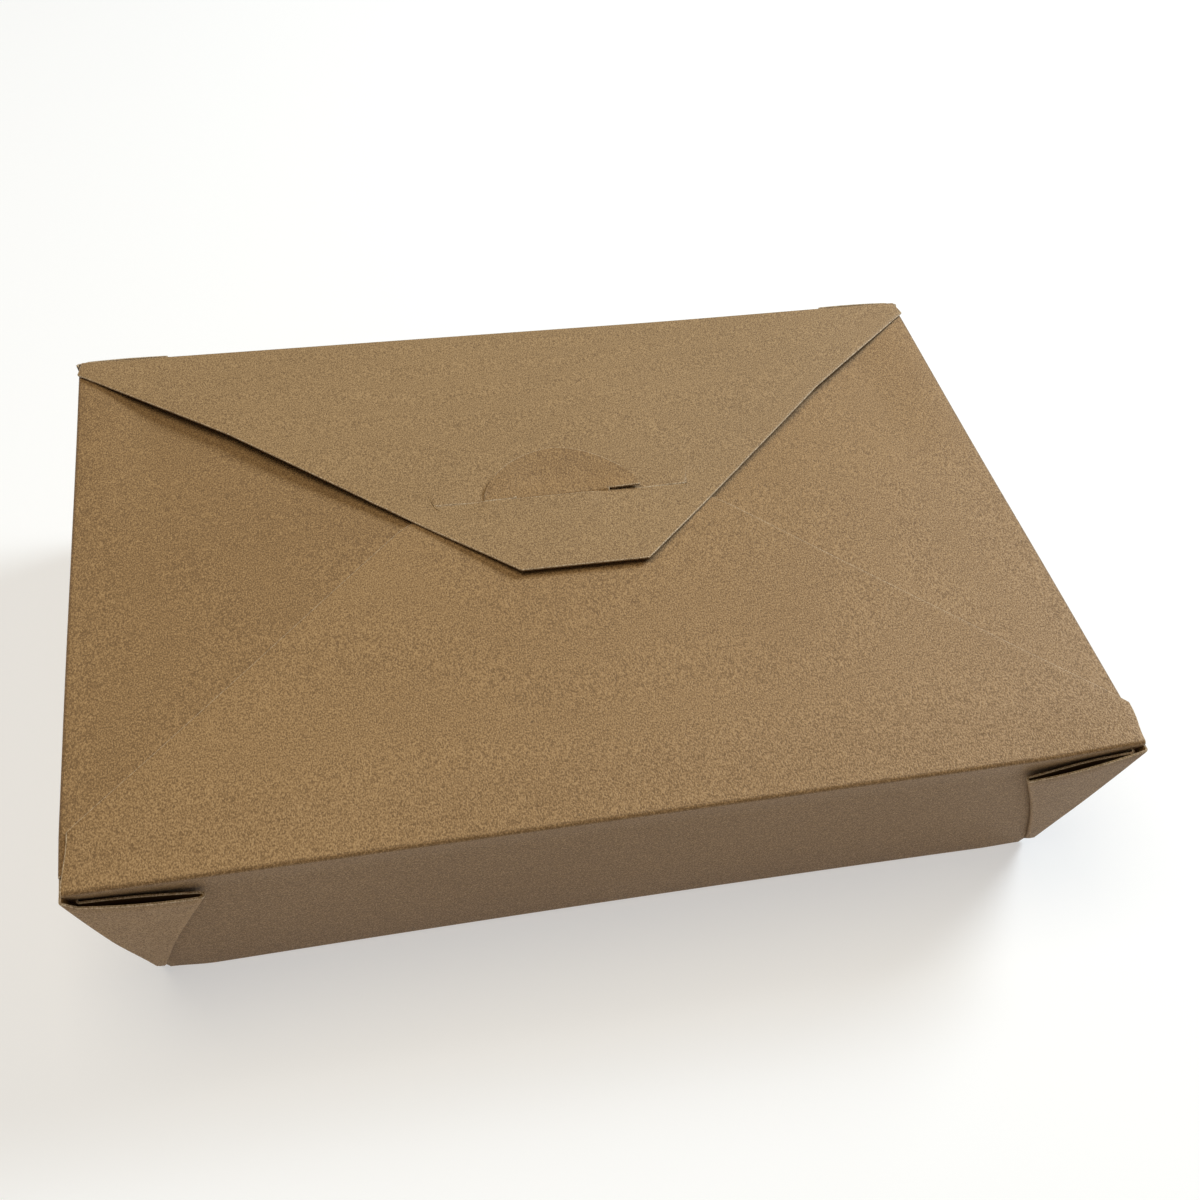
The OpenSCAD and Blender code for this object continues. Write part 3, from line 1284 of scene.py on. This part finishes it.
@dataclass(frozen=True)
class Carton:
    """The folded sheet without its lid flap: base, walls, web corners, three flaps and the tongue.

    Args:
        sizes: Sizes of the box.
        layers: Heights and places of the folds.
        lid: The lid flap, over whose slit the tongue lies.
        columns: Cells along the long side.
        rows: Cells along the short side.
        hang: How far the front fold hangs.
        bulge: How far the front fold bulges forward.
        base_bow: How far the base bows up in its middle.
        spread: How far the sides spread towards the front.
        tuck: How far the base's corners are rounded off.
    """

    sizes: BoxSizes
    layers: Layers
    lid: LidFlap
    columns: int = 96
    rows: int = 60
    hang: float = 1.3
    bulge: float = 0.8
    base_bow: float = 1.1
    spread: float = 0.4
    tuck: float = 1.2

    def build(self, stock: BoardStock, finishes: list[bpy.types.Material]) -> bpy.types.Object:
        """Makes the carton's sheet.

        Args:
            stock: The board.
            finishes: Its materials.

        Returns:
            The finished object.
        """
        sheet = Sheet("carton_sheet")
        # Each web corner gets its own painted light along its outer layer and fold
        rear_web = WebCorner(self.sizes)
        left_web = WebCorner(
            self.sizes, length=23.1, drop=2.3, slant=0.135, layer_gap=0.6, painted_light=-0.02, fold_painted_light=0.1,
        )
        right_web = WebCorner(
            self.sizes, length=23.2, drop=0.1, slant=0.255, painted_light=-0.2, fold_painted_light=-0.12,
        )
        # The left flap is painted darker as painted shade, and the right one a little lighter as painted
        # light
        sides = [
            SidePanel(self.sizes, self.layers, (rear_web, left_web), -1.0, sag=1.5, painted_light=-0.1),
            SidePanel(self.sizes, self.layers, (rear_web, right_web), 1.0, painted_light=0.02),
        ]
        front = FrontFlap(self.sizes, self.layers, Tongue(self.sizes, self.lid))
        rear_wall = self.lid.wall
        length = sides[0].wall.base_edge
        width = rear_wall.base_edge
        sheet.panel(self.columns, self.rows, 2 * length, 2 * width)
        front_edges = sheet.open_edges(lambda place: abs(place.y + width) < NEAR)
        rear_edges = sheet.open_edges(lambda place: abs(place.y - width) < NEAR)
        for panel in sides:
            side_x = panel.side * length
            edges = sheet.open_edges(lambda place: abs(place.x - side_x) < NEAR and place.z == 0.0)
            panel.grow(sheet, edges)
        front.grow(sheet, front_edges)
        rear_wall.grow(sheet, rear_edges, rear_wall.rim_tangent(self.lid.fold_r) + self.lid.tail)
        for vert in sheet.bm.verts:
            vert.co = lifted(self.settle(vert.co))
        return sheet.finish(self.sizes.board, stock.arris, Vector((0, 0, -1)), finishes)

    def settle(self, place: Vector) -> Vector:
        """Lets the front fold hang a little and bows the base up in its middle.

        Args:
            place: A place on the sheet as it was folded.

        Returns:
            Where that place comes to rest.
        """
        # Front wall and fold
        front = smooth_step(-66.0, -81.0, place.y) * min(1.0, place.z / self.layers.front_z)
        droop = front * mix(0.25, 1.0, smooth_step(108.0, 84.0, place.x))
        roll = smooth_step(-66.0, -80.0, place.y) * smooth_step(44.0, 48.0, place.z)
        roll *= smooth_step(-81.9, -81.4, place.y)
        # Side walls, then base and its corners
        spread = smooth_step(60.0, -40.0, place.y) * smooth_step(90.0, 107.0, abs(place.x))
        spread *= smooth_step(10.0, 40.0, place.z)
        bow = max(0.0, 1.0 - (place.x / 98.0) ** 2) * smooth_step(16.0, 0.0, place.z)
        corner = smooth_step(86.0, 98.5, abs(place.x)) * smooth_step(60.0, 70.0, abs(place.y))
        corner *= smooth_step(26.0, 0.0, place.z)
        tuck = mix(self.tuck, 0.4 * self.tuck, smooth_step(-50.0, 50.0, place.x)) * corner
        out = math.copysign(1.0, place.x) * (self.spread * spread - tuck)
        back = math.copysign(0.5, place.y) * tuck + self.bulge * roll
        rise = self.base_bow * bow + 0.3 * tuck - self.hang * droop
        return place + Vector((out, -back, rise))


@dataclass(frozen=True)
class Lamp:
    """A square area light that faces the box.

    Args:
        name: Name of the light.
        at: Place in metres.
        size: Side of the square in metres.
        watts: Power.
        colour: Linear colour.
    """

    name: str
    at: Colour
    size: float
    watts: float
    colour: Colour

    def build(self) -> None:
        """Makes the light."""
        data = bpy.data.lights.new(self.name, "AREA")
        data.size = self.size
        data.energy = self.watts
        data.color = self.colour
        lamp = bpy.data.objects.new(self.name, data)
        bpy.context.scene.collection.objects.link(lamp)
        towards = Vector((0.0, 0.0, 0.03)) - Vector(self.at)
        turn = towards.to_track_quat("-Z", "Y").to_matrix().to_4x4()
        lamp.matrix_world = Matrix.Translation(self.at) @ turn


@dataclass(frozen=True)
class Studio:
    """Pale floor, soft lights and the camera.

    Args:
        camera_at: Place of the camera in metres.
        looks_at: Point on the camera's axis.
        roll: Turn of the camera about its axis in degrees.
        lens: Focal length in millimetres on a 36 mm sensor.
        shift: Shift of the frame, in frame widths.
        sky: Brightness of the even light from all around.
        glow: Light that the floor gives off, as a light table does.
        lamps: The lights.
    """

    camera_at: Colour = (-0.0537, -0.2527, 0.2770)
    looks_at: Colour = (0.0118, -0.0386, 0.03)
    roll: float = 5.74
    lens: float = 44.82
    shift: tuple[float, float] = (-0.0389, 0.0874)
    sky: float = 0.10
    glow: float = 0.48
    lamps: tuple[Lamp, ...] = field(default=(
        Lamp("key", (0.95, 0.46, 0.80), 0.5, 16.8, (0.82, 0.92, 1.0)),
        Lamp("top", (-0.30, -0.05, 1.30), 1.0, 9.9, (1.0, 0.905, 0.725)),
        Lamp("front", (-1.0, -0.9, 0.60), 0.6, 0.6, (1.0, 0.88, 0.70)),
    ))

    def camera(self) -> None:
        """Makes the camera at the photograph's viewing angle."""
        data = bpy.data.cameras.new("camera")
        data.lens = self.lens
        data.sensor_width = 36.0
        data.shift_x, data.shift_y = self.shift
        data.clip_start = 0.01
        camera = bpy.data.objects.new("camera", data)
        bpy.context.scene.collection.objects.link(camera)
        towards = Vector(self.looks_at) - Vector(self.camera_at)
        turn = towards.to_track_quat("-Z", "Y").to_matrix().to_4x4()
        roll = Matrix.Rotation(math.radians(self.roll), 4, "Z")
        camera.matrix_world = Matrix.Translation(self.camera_at) @ turn @ roll
        bpy.context.scene.camera = camera

    def floor(self) -> None:
        """Makes the pale floor."""
        bm = bmesh.new()
        bmesh.ops.create_grid(bm, x_segments=1, y_segments=1, size=3.0)
        mesh = bpy.data.meshes.new("floor")
        bm.to_mesh(mesh)
        bm.free()
        floor = bpy.data.objects.new("floor", mesh)
        bpy.context.scene.collection.objects.link(floor)
        material = bpy.data.materials.new("floor")
        material.use_nodes = True
        shader = material.node_tree.nodes["Principled BSDF"]
        shader.inputs["Base Color"].default_value = (0.5, 0.5, 0.5, 1.0)
        shader.inputs["Roughness"].default_value = 0.9
        shader.inputs["Emission Color"].default_value = (1.0, 1.0, 1.0, 1.0)
        shader.inputs["Emission Strength"].default_value = self.glow
        mesh.materials.append(material)

    def world(self) -> None:
        """Makes the even light from all around."""
        world = bpy.data.worlds.new("studio")
        world.use_nodes = True
        background = world.node_tree.nodes["Background"]
        background.inputs["Color"].default_value = (1.0, 0.95, 0.88, 1.0)
        background.inputs["Strength"].default_value = self.sky
        bpy.context.scene.world = world

    def build(self) -> None:
        """Makes the whole studio."""
        bpy.context.scene.view_settings.view_transform = "Standard"
        self.camera()
        self.floor()
        self.world()
        for lamp in self.lamps:
            lamp.build()


def main() -> None:
    """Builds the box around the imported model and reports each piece."""
    logging.basicConfig(level=logging.INFO, format="%(name)s: %(message)s")
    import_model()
    sizes = BoxSizes.from_model()
    layers = Layers()
    stock = BoardStock()
    carton_finishes, lid_finishes = stock.materials()
    lid = LidFlap(sizes, layers)
    lid_piece = lid.build(stock, lid_finishes)
    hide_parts("lid_flap")
    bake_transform(lid_piece)
    LOG.info("lid flap: %d faces", len(lid_piece.data.polygons))
    carton_piece = Carton(sizes, layers, lid).build(stock, carton_finishes)
    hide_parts("carton")
    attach(carton_piece, "carton")
    LOG.info("carton: %d faces", len(carton_piece.data.polygons))
    Studio().build()
    LOG.info("studio done")


if __name__ == "__main__":
    main()
